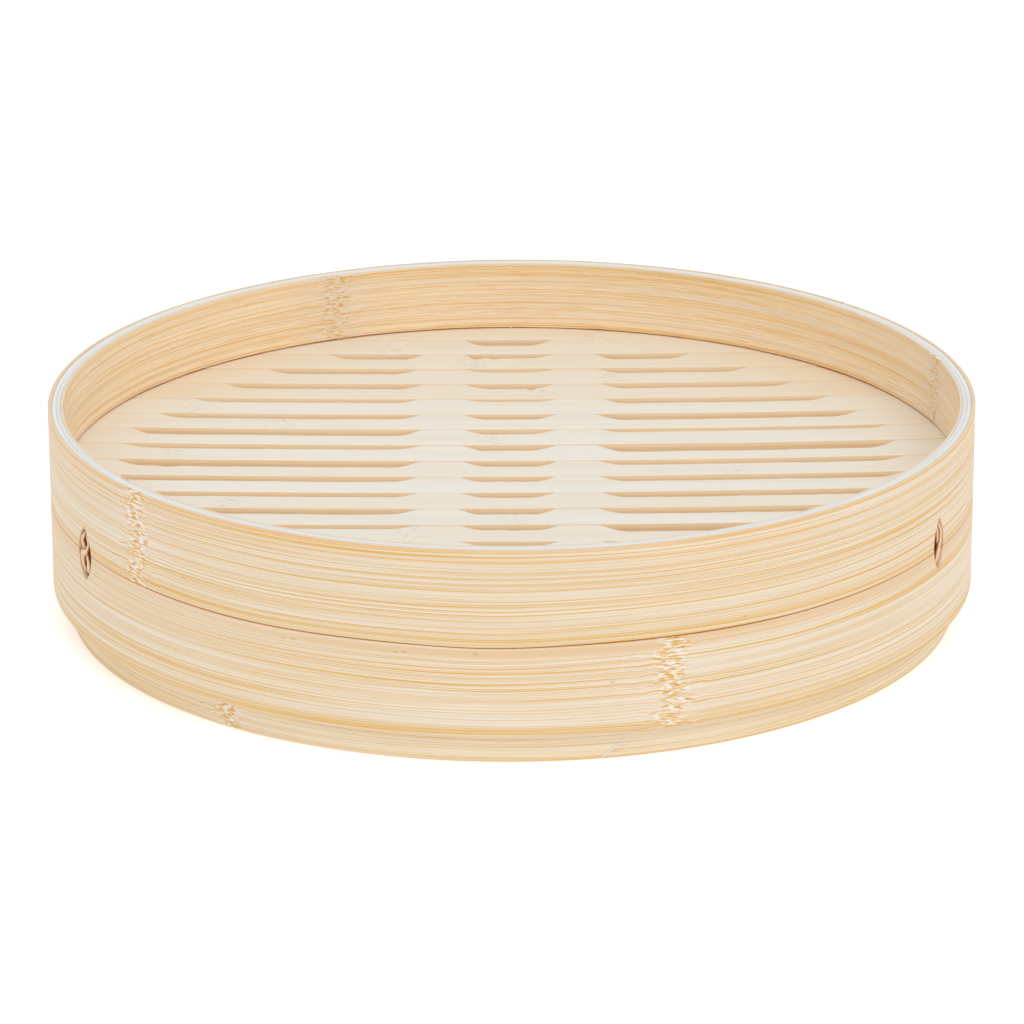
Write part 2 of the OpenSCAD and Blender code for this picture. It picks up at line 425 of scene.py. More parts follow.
def core_edge(name, seed, colour_a, colour_b, lace_arcs, core_low, line_level, gap_shade_colour):
    """A pale strip in the middle of the wall. A line of painted shade runs along it where it shows through a
    gap, and round the laces it is painted dark brown, as shade in the lace pockets."""
    material, tree = new_material(name)
    arc, rise = uv_mm(tree, "strip")
    fibre = noise(arc * 0.05, rise * 3.0, seed, detail=3.0)
    patch = noise(arc * 0.02, rise * 0.4, seed + 3.0)
    colour = mixed(rise_between(patch, 0.4, 0.62), colour_a, colour_b)
    # Painted shade: the line where this strip shows through the seam or under the lining
    line = rise_between(rise.distance(line_level - core_low), CORE_GAP_SHADE[1], CORE_GAP_SHADE[0])
    colour = mixed(line, colour, gap_shade_colour)
    # Painted shade round each lace, where the pockets lie in shadow
    for place, level in lace_arcs:
        across = rise_between(arc.distance(place), POCKET_SHADE_ACROSS[1], POCKET_SHADE_ACROSS[0])
        up = rise_between(rise.distance(level - core_low), POCKET_SHADE_UP[1], POCKET_SHADE_UP[0])
        colour = mixed(across * up, colour, LACE_POCKET_SHADE)
    colour = scaled(colour, fibre * 0.1 + 0.95)
    return finish_material(material, colour, fibre * 0.2 + 0.6, fibre * 0.06, 0.2)


def slat_material():
    """Planed bamboo, cream on top, with straight fine grain, a knot here and there, and tan sides. The
    sides grow darker low down, as painted shade deep in the slots, and the top is painted warmer
    and darker near the wall, as painted shade.
    """
    material, tree = new_material("slat_bamboo")
    along, across = uv_mm(tree, "strip")
    seed = own_value(tree, "seed")
    tone = own_value(tree, "tone")
    gap = along.distance((noise(across * 0.35, 0.0, seed) - 0.5) * 8.0)
    knot = rise_between(gap, 7.0, 2.0)
    wiggle = (noise(along * 0.2, across * 0.35, seed + 2.0) - 0.5) * knot * 2.0
    lane = across + wiggle
    grain = noise(along * 0.02, lane * 2.6, seed + 4.0, detail=3.0)
    streak = rise_between(noise(along * 0.006, lane * 0.7, seed + 6.0), 0.55, 0.7)
    patch = rise_between(noise(along * 0.012, lane * 0.16, seed + 8.0), 0.4, 0.65)
    top = mixed(patch, tint(251, 247, 237), tint(249, 242, 227))
    # The slat's own random colour, and painted shade near the wall
    top = mixed(tone * 0.7, top, tint(250, 232, 204))
    top = mixed(streak * 0.25, top, tint(250, 226, 186))
    shard = noise(along * 0.5 + lane * 0.3, lane * 1.1, seed + 10.0, detail=1.5)
    broken = mixed(rise_between(shard, 0.52, 0.62) * 0.7, top, WHITE_FIBRE)
    broken = mixed(rise_between(shard, 0.47, 0.36) * 0.6, broken, tint(232, 198, 150))
    top = mixed(knot * 0.75, top, broken)
    side = mixed(rise_between(grain, 0.35, 0.65), tint(262, 240, 205), tint(256, 226, 184))
    # Painted shade: the lower part of each side face is darker, as deep in a slot
    side = mixed(rise_between(across, 3.7, 5.4) * 0.5, side, tint(242, 203, 156))
    facing = rise_between(upward(tree), 0.35, 0.85)
    colour = mixed(facing, side, top)
    colour = scaled(colour, grain * 0.08 + 0.96)
    height = grain * 0.04 + shard * knot * 0.06
    return finish_material(material, colour, grain * 0.2 + 0.5, height, 0.25)


def plain_bamboo(name, seed, first, second, streak_colour, side_shade=None):
    """Split bamboo without its skin, for the bars, the packing and the laces. A side shade darkens
    the two sides of a lace: painted shade of the gaps beside it in its window."""
    material, tree = new_material(name)
    along, across = uv_mm(tree, "strip")
    grain = noise(along * 0.04, across * 3.5, seed, detail=3.0)
    streak = rise_between(noise(along * 0.02, across * 1.6, seed + 2.0), 0.5, 0.66)
    patch = rise_between(noise(along * 0.05, across * 0.4, seed + 4.0), 0.38, 0.62)
    colour = mixed(patch, first, second)
    colour = mixed(streak * 0.6, colour, streak_colour)
    if side_shade is not None:
        # Painted shade along both edges of a lace strip
        sides = rise_between(across.distance(0.0) + (grain - 0.5) * 0.5, *LACE_SIDE_SHADE)
        colour = mixed(sides * 0.85, colour, side_shade)
    colour = scaled(colour, grain * 0.16 + 0.92)
    return finish_material(material, colour, grain * 0.25 + 0.4, grain * 0.08)


# How fine the grain of a cut edge is along X and Z, in grains per metre
CUT_GRAIN = (900.0, 2600.0)


def cut_edge(name, dark, light):
    """The cut edge of a window or a hole, with its grain running along the wall."""
    material, tree = new_material(name)
    place = xyz(tree.nodes.new("ShaderNodeTexCoord").outputs["Object"])
    grain = grained(place[0], place[2], CUT_GRAIN, 3.0, detail=3.0)
    colour = mixed(rise_between(grain, 0.3, 0.7), dark, light)
    return finish_material(material, colour, grain * 0.3 + 0.5, grain * 0.1)


# -------- meshes


def waves(rng, longest, shortest, count=6):
    """A smooth wandering line between 0 and 1 along a strip, the same each run."""
    lengths = np.geomspace(longest, shortest, count)
    phases = rng.uniform(0, 2 * math.pi, count)
    sizes = np.linspace(1.0, 0.45, count)

    def value(arc):
        total = sum(s * np.cos(2 * math.pi * arc / w + p) for s, w, p in zip(sizes, lengths, phases))
        return 0.5 + 0.5 * total / sizes.sum()

    return value


def rounded_profile(thickness, height, rounding, rows, steps=3):
    """A strip's cross-section, as depth from its outer face and height above its lower edge."""
    outer = [(0.0, level) for level in rows]
    inner = [(thickness, level) for level in rows[::-1]]
    turns = [90 * k / steps for k in range(steps + 1)]
    corners = []
    for centre_depth, centre_level, first in (
        (rounding, height - rounding, 0),
        (thickness - rounding, height - rounding, 90),
        (thickness - rounding, rounding, 180),
        (rounding, rounding, 270),
    ):
        angles = [math.radians(first + turn) for turn in turns]
        corners.append([
            (centre_depth - rounding * math.cos(a), centre_level + rounding * math.sin(a)) for a in angles
        ])
    points = outer + corners[0] + corners[1] + inner + corners[2] + corners[3]
    return np.array(points)


def swept_mesh(name, rings, uv, closed=False):
    """A closed skin through rings of points, with the strip's own coordinates as its UV layer."""
    stations, points = rings.shape[:2]
    index = np.arange(stations * points).reshape(stations, points)
    following = np.roll(index, -1, axis=1)
    ahead = np.roll(index, -1, axis=0)
    ahead_following = np.roll(following, -1, axis=0)
    last = stations if closed else stations - 1
    quads = np.stack([index[:last], following[:last], ahead_following[:last], ahead[:last]], axis=-1)
    faces = quads.reshape(-1, 4).tolist()
    if not closed:
        faces += [index[0][::-1].tolist(), index[-1].tolist()]
    mesh = bpy.data.meshes.new(name)
    mesh.from_pydata((rings.reshape(-1, 3) * MM).tolist(), [], faces)
    layer = mesh.uv_layers.new(name="strip")
    corners = np.zeros(len(mesh.loops), dtype=np.int32)
    mesh.loops.foreach_get("vertex_index", corners)
    layer.data.foreach_set("uv", (uv.reshape(-1, 2)[corners] * MM).astype(np.float32).ravel())
    shape = bmesh.new()
    shape.from_mesh(mesh)
    bmesh.ops.recalc_face_normals(shape, faces=shape.faces)
    shape.to_mesh(mesh)
    shape.free()
    return mesh


def smooth(mesh, angle=35):
    """Smooth shading that keeps the edges sharper than the angle."""
    mesh.shade_smooth()
    mesh.set_sharp_from_angle(angle=math.radians(angle))


def placed(name, data):
    """A new object in the scene."""
    thing = bpy.data.objects.new(name, data)
    bpy.context.scene.collection.objects.link(thing)
    return thing


def add_piece(name, mesh, material, slot, *nodes):
    """A piece of the object: it rides on the body and stands for its CAD nodes."""
    piece = placed(name, mesh)
    if not mesh.materials:
        mesh.materials.append(material)
    smooth(mesh)
    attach(piece, BODY)
    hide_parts(*nodes)


# A hoop's shape where nothing else is said: its joint's slant and the level it is measured from, how
# far its edges wander and sag, and how far its outer face sinks, in millimetres
PLAIN_HOOP = {
    "slant": 0.0, "slant_level": 0.0, "low_wave": 0.0, "seam_wave": 0.0, "high_wave": 0.0,
    "low_sag": 0.0, "high_sag": 0.0, "dent": 0.05,
}
HOOP_STATIONS = 600


def wound_strip(name, outer_r, profile, low, height, joint, seed, **shape):
    """One strip bent round into a hoop. Its ends meet at the joint, in degrees, on a bevel. The rest
    of its shape is as in PLAIN_HOOP."""
    settings = {**PLAIN_HOOP, **shape}
    rng = np.random.default_rng(seed)
    share = np.linspace(0, 1, HOOP_STATIONS)[:, None]
    depth = profile[None, :, 0]
    level = profile[None, :, 1]
    around = 2 * math.pi * outer_r - SCARF_GAP * math.hypot(1, BEVEL)
    arc = share * around + settings["slant"] * (level - settings["slant_level"]) + BEVEL * depth
    angle = math.radians(joint) + arc / outer_r
    low_line = waves(rng, 300, 14)(arc) * settings["low_wave"]
    if settings["seam_wave"]:
        low_line = (0.4 + 0.6 * waves(rng, 300, 40)(arc)) * settings["seam_wave"] * away_from_laces(angle)
    high_line = waves(rng, 300, 14)(arc) * settings["high_wave"]
    low_line = low_line - settings["low_sag"] * seam_drop(angle)
    high_line = high_line - settings["high_sag"] * seam_drop(angle)
    surface = waves(rng, 180, 22)(arc) * waves(rng, 31, 7)(level + arc * 0.01)
    radius = outer_r - depth - np.where(depth < 0.01, surface * settings["dent"], 0.0)
    up = low + level + low_line * (1 - level / height) + high_line * level / height
    rings = np.stack([radius * np.cos(angle), radius * np.sin(angle), up], axis=-1)
    uv = np.stack([arc, np.broadcast_to(level, arc.shape)], axis=-1)
    return swept_mesh(name, rings, uv)


# How far from a lace the seam stays closed, and over what further turn it opens
CLOSED_SEAM = math.radians(6)
SEAM_EASE = math.radians(22)


def seam_drop(angle):
    """How far the seam runs below its level at the laces: a little all along, most at the front."""
    turn = np.degrees(angle) % 360
    front = 0.75 * np.exp(-(((turn - 267) / 9) ** 2))
    front_left = 0.3 * np.exp(-(((turn - 238) / 14) ** 2))
    return 0.45 * away_from_laces(angle) + front + front_left


def away_from_laces(angle):
    """0 near a lace and 1 well away from them all."""
    gaps = []
    for azimuth, level in LACES.values():
        turn = angle - math.radians(azimuth) + math.pi
        gaps.append(np.abs(turn % (2 * math.pi) - math.pi))
    return np.clip((np.minimum.reduce(gaps) - CLOSED_SEAM) / SEAM_EASE, 0, 1)


def place_along(azimuth, joint, radius):
    """The place along a hoop's strip, in millimetres, of an azimuth in degrees from +X."""
    return ((azimuth - joint) % 360) * math.pi / 180 * radius


def knots_along(knots, joint, radius):
    return [place_along(knot, joint, radius) for knot in knots]


def prism(outline, low, high, azimuth, level, material=None):
    """A cutting shape: an outline in (sideways, up), in millimetres, drawn outward at an azimuth."""
    angle = math.radians(azimuth)
    outward = Vector((math.cos(angle), math.sin(angle), 0))
    sideways = Vector((-math.sin(angle), math.cos(angle), 0))
    shape = bmesh.new()
    ends = []
    for radius in (low, high):
        spots = [outward * radius + sideways * x + Vector((0, 0, level + z)) for x, z in outline]
        ends.append([shape.verts.new(spot * MM) for spot in spots])
    shape.faces.new(ends[0][::-1])
    shape.faces.new(ends[1])
    count = len(outline)
    for k in range(count):
        other = (k + 1) % count
        shape.faces.new((ends[0][k], ends[0][other], ends[1][other], ends[1][k]))
    bmesh.ops.recalc_face_normals(shape, faces=shape.faces)
    mesh = bpy.data.meshes.new("cutter")
    shape.to_mesh(mesh)
    shape.free()
    if material:
        mesh.materials.append(material)
    return mesh


def cut(mesh, cutters):
    """The mesh less the cutters' shapes. Cut faces take the cutter's material."""
    body = placed("cut_body", mesh)
    tools = []
    for cutter in cutters:
        tool = placed("cut_tool", cutter)
        modifier = body.modifiers.new("cut", "BOOLEAN")
        modifier.operation = "DIFFERENCE"
        modifier.solver = "EXACT"
        modifier.material_mode = "TRANSFER"
        modifier.object = tool
        tools.append(tool)
    bpy.context.view_layer.update()
    graph = bpy.context.evaluated_depsgraph_get()
    result = bpy.data.meshes.new_from_object(body.evaluated_get(graph))
    for thing in tools + [body]:
        bpy.data.objects.remove(thing)
    return result


def lens_outline(width, shift, steps=20):
    """Two arcs that meet in points at the top and the bottom."""
    radius = (width**2 + WINDOW_H**2) / (4 * width)
    half = math.asin(WINDOW_H / 2 / radius)
    points = []
    for side in (1, -1):
        for k in range(steps):
            angle = side * (half - 2 * half * k / steps)
            sideways = shift + side * (radius * math.cos(angle) - radius + width / 2)
            points.append((sideways, radius * math.sin(angle)))
    return points


def circle_outline(radius, level, steps=32):
    turns = [2 * math.pi * k / steps for k in range(steps)]
    return [(radius * math.cos(t), level + radius * math.sin(t)) for t in turns]


def window_cutters(material):
    cutters = []
    for side, (azimuth, level) in LACES.items():
        outline = lens_outline(*WINDOWS[side])
        cutters.append(prism(outline, CORE_OUTER_R - 1, WALL_R + 1, azimuth, level, material))
    return cutters


# -------- the wall


# Colours of the cut edges inside the windows, and the dark brown of those inside the holes, which is painted
# shade
WINDOW_SHADES = (tint(246, 206, 158), tint(262, 238, 206))
HOLE_PAINTED_SHADE = (tint(182, 92, 38), tint(216, 134, 68))
# Shades of the two core strips' edges on the rim
CORE_WHITES = (tint(250, 251, 247), tint(242, 245, 243))
CORE_GREYS = (tint(243, 242, 240), tint(244, 241, 235))
# Radii that the strips' edges are rounded to
BAND_ROUNDING = 0.15
CORE_ROUNDING = 0.12
FOOT_ROUNDING = 0.3
# How far the lining's lower edge hangs below its level in the CAD, and how far it wanders up from there
LINING_DROP = 0.1
LINING_WANDER = 0.5


def edge_rows(height, count, margin=1.0):
    """Evenly spaced levels across a strip, as far as the margin from its edges."""
    return list(np.linspace(margin, height - margin, count))


# Small brown flecks of the bamboo, as (degrees from +X, height above the band's lower edge)
LOWER_BAND_FLECKS = [
    (-117.5, 26.4), (-116.2, 26.6), (-103.6, 26.7), (-102.6, 27.0), (-94.2, 27.6), (-78.5, 16.5),
]
UPPER_BAND_FLECKS = [(-20.0, 24.0), (-132.0, 8.0), (-62.0, 2.6)]


def band_zones(node, height):
    """Broad tinted zones along a band: amber under the rim, biscuit below the seam, honey elsewhere, and a
    brown edge at the seam that is painted shade of its gap.
    """
    if node == "upper_outer_band":
        return [
            (height - 0.9, height + PAST_EDGE, 0.3, 1.1, AMBER),
            (height - 0.06, height + PAST_EDGE, 0.05, 1.6, RIM_TAN),
            (height - 4.4, height - 3.0, 0.6, 0.5, AMBER),
            (-PAST_EDGE, 3.2, 1.2, 0.55, HONEY),
            # painted shade on the edge at the seam's gap
            (-PAST_EDGE, 0.15, 0.15, 1.4, SEAM_EDGE_SHADE),
        ]
    return [
        (height - 4.0, height + PAST_EDGE, 1.5, 1.1, BISCUIT),
        (-PAST_EDGE, 2.6, 1.0, 0.6, HONEY),
        # painted shade on the edge at the seam's gap
        (height - 0.15, height + PAST_EDGE, 0.15, 1.4, SEAM_EDGE_SHADE),
    ]


def add_cut_strip(name, mesh, material, cutters, slot, node):
    """Cuts a hoop's openings, and adds it as a piece."""
    mesh.materials.append(material)
    mesh = cut(mesh, cutters)
    mesh.name = name
    add_piece(name, mesh, material, slot, node)


def add_band(name, node, joint, knots, flecks, edge, seed, **sags):
    """One outer band, with windows for the laces."""
    low, high = node_levels(node)
    height = high - low
    thickness = WALL_R - CORE_OUTER_R - GLUE
    profile = rounded_profile(thickness, height, BAND_ROUNDING, edge_rows(height, 16))
    mesh = wound_strip(name, WALL_R, profile, low, height, joint, seed, **sags)
    places = knots_along(knots, joint, WALL_R)
    marks = [(place_along(azimuth, joint, WALL_R), level) for azimuth, level in flecks]
    material = bamboo_skin(name + "_bamboo", float(seed), places, band_zones(node, height), marks=marks)
    add_cut_strip(name, mesh, material, window_cutters(edge), "bamboo_band", node)


def add_bands(edge):
    """The two outer bands. The seam between them is a thin open line that closes at the laces."""
    add_band(
        "upper_band_strip", "upper_outer_band", UPPER_BAND_JOINT, UPPER_BAND_KNOTS, UPPER_BAND_FLECKS,
        edge, 11, seam_wave=0.2, low_sag=1.0,
    )
    add_band(
        "lower_band_strip", "lower_outer_band", LOWER_BAND_JOINT, LOWER_BAND_KNOTS, LOWER_BAND_FLECKS,
        edge, 23, high_sag=1.0,
    )


def hole_outlines():
    """The two round holes of a lace in the outer core strip."""
    return [circle_outline(HOLE_R, side * HOLE_RISE) for side in (-1, 1)]


def return_outlines():
    """The one upright slot of a lace in the inner core strip."""
    half_w = RETURN_W / 2
    half_h = HOLE_RISE + HOLE_R
    return [[(-half_w, -half_h), (half_w, -half_h), (half_w, half_h), (-half_w, half_h)]]


def add_core(name, node, outer, inner, joint, outlines, edge, shades, line, seed):
    """One core strip, with openings of the given outlines for each lace."""
    low, high = node_levels(node)
    height = high - low
    profile = rounded_profile(outer - inner - GLUE, height, CORE_ROUNDING, edge_rows(height, 12))
    mesh = wound_strip(name, outer, profile, low, height, joint, seed, high_wave=-0.25, dent=0.02)
    spots = [(place_along(azimuth, joint, outer), level) for azimuth, level in LACES.values()]
    material = core_edge(name + "_bamboo", float(seed), *shades, spots, low, *line)
    cutters = []
    for azimuth, level in LACES.values():
        for outline in outlines:
            # Cut faces of the holes and slots take the dark edge colour, painted shade inside them
            cutters.append(prism(outline, inner - 1, outer + 1, azimuth, level, edge))
    add_cut_strip(name, mesh, material, cutters, "bamboo_core", node)


def add_cores(edge):
    """The two pale strips between the bands and the lining, whose edges show on the rim."""
    # Lines of painted shade on the core strips: in the seam between the bands, and in the gap under the
    # lining
    seam_gap_shade = (node_levels("lower_outer_band")[1] - 0.5, SEAM_GAP_SHADE)
    slat_gap_shade = (node_levels("upper_lining_hoop")[0], LINING_GAP_SHADE)
    add_core(
        "core_strip_outer", "core_hoop_outer", CORE_OUTER_R, CORE_INNER_R, CORE_OUTER_JOINT,
        hole_outlines(), edge, CORE_WHITES, seam_gap_shade, 31,
    )
    add_core(
        "core_strip_inner", "core_hoop_inner", CORE_INNER_R, LINING_R, CORE_INNER_JOINT,
        return_outlines(), edge, CORE_GREYS, slat_gap_shade, 37,
    )


def add_lining():
    """The strip that lines the wall above the floor. Its lower edge wanders a little off the slats."""
    low, high = node_levels("upper_lining_hoop")
    low = low - LINING_DROP
    height = high - low
    profile = rounded_profile(LINING_R - BORE_R, height, CORE_ROUNDING, edge_rows(height, 14))
    mesh = wound_strip(
        "lining_strip", LINING_R, profile, low, height, LINING_JOINT, 41,
        low_wave=LINING_WANDER, high_wave=-0.2, dent=0.0,
    )
    places = knots_along(LINING_KNOTS, LINING_JOINT, LINING_R)
    material = lining_skin("lining_bamboo", 41.0, places, height)
    add_piece("lining_strip", mesh, material, "bamboo_lining", "upper_lining_hoop")


def add_packing():
    """The filling strip between the wall and the foot, below the floor."""
    low, high = node_levels("lower_packing_hoop")
    height = high - low
    outer = node_radius("lower_packing_hoop")
    thickness = outer - FOOT_NECK_R - GLUE
    profile = rounded_profile(thickness, height, FOOT_ROUNDING, edge_rows(height, 10))
    mesh = wound_strip("packing_strip", outer, profile, low, height, PACKING_JOINT, 43, dent=0.0)
    shades = (tint(232, 208, 168), tint(224, 196, 150), tint(214, 176, 120))
    material = plain_bamboo("packing_bamboo", 43.0, *shades)
    add_piece("packing_strip", mesh, material, "bamboo_lining", "lower_packing_hoop")


def foot_profile(height):
    """The foot's section, with its shoulder where it enters the wall."""
    below = list(np.linspace(0.8, FOOT_STEP - 0.01, 7))
    above = list(np.linspace(FOOT_STEP, height - 0.8, 9))
    profile = rounded_profile(FOOT_T, height, FOOT_ROUNDING, below + above)
    outside = (profile[:, 0] < FOOT_T / 2) & (profile[:, 1] >= FOOT_STEP)
    profile[outside, 0] += FOOT_SHOULDER
    return profile


def bar_notches(top):
    """Cutting shapes for the two notches that hold each cross bar in the foot."""
    bar_low, bar_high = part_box("cross_bar_right")
    level = bar_low.z / MM - GLUE
    cutters = []
    for side in (1, -1):
        near = side * (bar_low.x / MM - GLUE)
        far = side * (bar_high.x / MM + GLUE)
        outline = [(near, level), (far, level), (far, top), (near, top)]
        cutters.append(prism(outline, -WALL_R, WALL_R, -90, 0))
    return cutters


def add_foot():
    """The innermost strip, which stands out below the wall. Its ends meet on a long diagonal."""
    low, high = node_levels("foot_hoop")
    height = high - low
    mesh = wound_strip(
        "foot_strip", FOOT_R, foot_profile(height), low, height, FOOT_JOINT, 53,
        slant=FOOT_SLANT, slant_level=FOOT_STEP,
    )
    places = knots_along(FOOT_KNOTS, FOOT_JOINT, FOOT_R)
    zones = [
        # Painted shadow just under the wall's lower edge, where the foot comes out of it
        (FOOT_STEP - 2.0, FOOT_STEP + 4.0, 1.0, 0.8, tint(232, 208, 170)),
        (-1.0, 0.6, 0.4, 0.8, HONEY),
    ]
    colours = (tint(248, 232, 202), tint(246, 223, 186), HONEY)
    end = (FOOT_SLANT, FOOT_SLANT * FOOT_STEP)
    material = bamboo_skin("foot_bamboo", 53.0, places, zones, 0.8, colours, end=end)
    add_cut_strip("foot_strip", mesh, material, bar_notches(high + 2), "bamboo_foot", "foot_hoop")


# -------- the floor

# Radii that a slat's top edges are rounded to, across the slat and down it, and that of a bar's edges
SLAT_ROUNDING = (0.3, 0.25)
BAR_ROUNDING = 0.6
# Where each slat's own knot is, from the middle to the right
SLAT_KNOTS = [30, -40, -13, 34, 8, -108, -78, -7, -110, 72, -120, -90, 0, -32, 60, -50, 20, -10, 40]
# Chips in the edge of a slot: slat, place, width and depth
CHIPS = [
    (3, -13, 5, 2.0), (3, -6, 4, 0.9), (5, 7, 4, 1.5),
    (9, -10, 5, 0.7), (10, -112, 9, 0.8), (14, 1, 5, 0.7),
]
# Slots that were cut deeper or less deep than the slat's own depth: left, middle and right
SLOT_SHARES = {
    3: (1.05, 0.8, 1.15), 4: (1.15, 0.7, 1.05), 6: (0.95, 0.7, 1.3),
    7: (0.9, 1.0, 1.2), 8: (1.3, 1.0, 0.7), 9: (0.75, 1.0, 1.35),
    10: (1.15, 1.05, 0.8), 12: (0.9, 1.05, 1.1), 14: (0.7, 0.95, 1.4),
}
PLAIN_SHARES = (1.0, 1.0, 1.0)
# How far a slat's side slots end from their usual places, in millimetres to the right: the left
# slot's two ends and the right slot's two ends
SLOT_ENDS = {
    3: (-6.0, 0.0, 1.0, 7.5),
    4: (-3.0, -2.4, 2.2, 1.8),
    5: (0.0, 0.0, 2.6, 0.5),
    6: (1.5, -2.3, 3.2, -0.6),
    8: (-2.2, 0.0, 0.8, 2.4),
}
PLAIN_ENDS = (0.0, 0.0, 0.0, 0.0)
# The floor grows darker towards the wall, as painted shade where it meets the wall: where that begins, over
# what length, and how much it adds
WALL_SHADE_START = 105
WALL_SHADE_EASE = 40
WALL_SHADE = 0.7
MOST_TONE = 1.4
# The slats at the back, whose own tones differ most, and how much those of the others differ
BACK_SLATS = 5
OTHER_TONES = 0.6


def slot_depth(node, rear):
    """How deep the middle slot is cut in a slat's rear edge, in millimetres, off its CAD mesh."""
    edge = [v.co.y / MM for v in frame["nodes"][node].data.vertices if abs(v.co.x) / MM < SLOT_MIDDLE_HALF]
    scooped = [y for y in edge if y > rear - 8]
    return rear - min(scooped, default=rear)


def slot_cut(x, joint_y, depth, shares, ends, rng):
    """The depth of a slat's rear edge along x, with each slot's eased ends and uneven cut."""
    reach = math.sqrt(max(SLOT_CIRCLE_R**2 - joint_y**2, 0))
    spans = [(-SLOT_MIDDLE_HALF, SLOT_MIDDLE_HALF, shares[1])]
    if reach > SLOT_SIDE_START + 3 * SLOT_TAPER:
        spans.append((SLOT_SIDE_START + ends[2], reach + ends[3], shares[2]))
        spans.append((ends[0] - reach, ends[1] - SLOT_SIDE_START, shares[0]))
    total = np.zeros_like(x)
    for start, end, share in spans:
        shift = SLOT_SHIFT + rng.uniform(-0.6, 0.6)
        taper = SLOT_TAPER * rng.uniform(0.85, 1.2)
        inside = np.clip(np.minimum(x - start - shift, end + shift - x) / taper, 0, 1)
        uneven = 1 + 0.14 * (waves(rng, 70, 9)(x) - 0.5)
        ragged = 0.3 * (waves(rng, 9, 2.2)(x) - 0.5)
        total = total + np.sin(inside * math.pi / 2) * (depth * share * uneven + ragged)
    return total


def floor_sag(x, y):
    """How far the floor lies below its level at the wall, in millimetres."""
    return FLOOR_SAG * np.maximum(1 - (x**2 + y**2) / SAG_R**2, 0)


def add_slat(number, material):
    """One slat. Its rear edge holds the steam slots, and its ends follow the wall."""
    node = f"slat_{number:02d}"
    low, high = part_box(node)
    rear = high.y / MM
    front = low.y / MM
    rng = np.random.default_rng(100 + number)
    end_r = LINING_R - GLUE
    reach = math.sqrt(end_r**2 - min(front**2, rear**2) * (front * rear > 0))
    turn = math.asin(min(reach / end_r, 1.0))
    curve = end_r * np.sin(np.linspace(-turn, turn, 160))
    x = np.unique(np.concatenate([curve, np.arange(-int(reach), int(reach) + 0.5, 0.8)]))
    x = x[np.concatenate([[True], np.diff(x) > 0.02])]
    chord = np.sqrt(np.maximum(end_r**2 - x**2, 0))
    depth = slot_depth(node, rear) if number > 1 else 0.0
    shares = SLOT_SHARES.get(number, PLAIN_SHARES)
    ends = SLOT_ENDS.get(number, PLAIN_ENDS)
    cut_back = slot_cut(x, rear, depth, shares, ends, rng) if depth > 1 else np.zeros_like(x)
    for slat, place, width, extra in CHIPS:
        if slat == number:
            cut_back = cut_back + extra * np.clip(1 - ((x - place) / width * 2) ** 2, 0, 1) * (cut_back > 1)
    settle = rng.uniform(0.0, 0.12)
    rear_line = np.minimum(rear - cut_back - 0.06 * waves(rng, 60, 8)(x), chord)
    front_line = np.maximum(front + settle + 0.08 * waves(rng, 80, 10)(x), -chord)
    front_line = np.minimum(front_line, rear_line - 0.05)
    bottom = low.z / MM
    thick = high.z / MM - bottom
    sweep_slat(number, node, x, front_line, rear_line, bottom, thick, rng, material)


def slat_section(thick, round_y, round_z, steps=2):
    """Section of a slat as (share across, offset across, height): rounded edges, several rows on top."""
    points = []
    for share, sign, first in ((1.0, -1, 0), (0.0, 1, 90)):
        for k in range(steps + 1):
            angle = math.radians(90 * k / steps)
            inset = 1 - math.cos(angle) if first == 0 else 1 - math.sin(angle)
            drop = 1 - math.sin(angle) if first == 0 else 1 - math.cos(angle)
            points.append((share, sign * inset * round_y, thick - drop * round_z))
        if first == 0:
            points += [(1 - k / 6, 0.0, thick) for k in range(1, 6)]
    points += [(0.0, 0.0, thick / 2), (0.0, 0.0, 0.0), (1.0, 0.0, 0.0), (1.0, 0.0, thick / 2)]
    return np.array(points)


def sweep_slat(number, node, x, front_line, rear_line, bottom, thick, rng, material):
    """Sweeps a slat's section between its two edges, with its tilt, its sag, its own colour and painted
    shade near the wall.
    """
    section = slat_section(thick, *SLAT_ROUNDING)
    share, offset, level = section[None, :, 0], section[None, :, 1], section[None, :, 2]
    width = (rear_line - front_line)[:, None]
    offset = offset * np.minimum(width / 2, 1.0)
    across = front_line[:, None] + share * width + offset
    tilt = rng.uniform(-0.1, 0.1)
    lowered = rng.uniform(0.1, 0.28)
    sag = lowered + tilt * (share - 0.5) + 0.05 * waves(rng, 120, 20)(x)[:, None]
    up = bottom + level - sag * (level > thick / 2) - floor_sag(x[:, None], across)
    along = np.broadcast_to(x[:, None], across.shape)
    rings = np.stack([along, across, up], axis=-1)
    over = np.where(level < thick - 0.3, (thick - level) + 3.0, 0.0)
    uv = np.stack([along - SLAT_KNOTS[number - 1], across - across.min() + over], axis=-1)
    mesh = swept_mesh("floor_" + node, rings, uv)
    plain_tone = rng.uniform(0.0, 1.0) * (1.0 if number <= BACK_SLATS else OTHER_TONES)
    from_middle = np.hypot(along, across)
    # Painted shade near the wall
    near_wall_shade = np.clip((from_middle - WALL_SHADE_START) / WALL_SHADE_EASE, 0, 1) * WALL_SHADE
    tone = np.minimum(plain_tone + near_wall_shade, MOST_TONE)
    for key, values in (("seed", np.full(along.size, number * 3.7)), ("tone", tone)):
        attribute = mesh.attributes.new(key, "FLOAT", "POINT")
        attribute.data.foreach_set("value", values.ravel().astype(np.float32))
    add_piece("floor_" + node, mesh, material, "bamboo_slat", node)


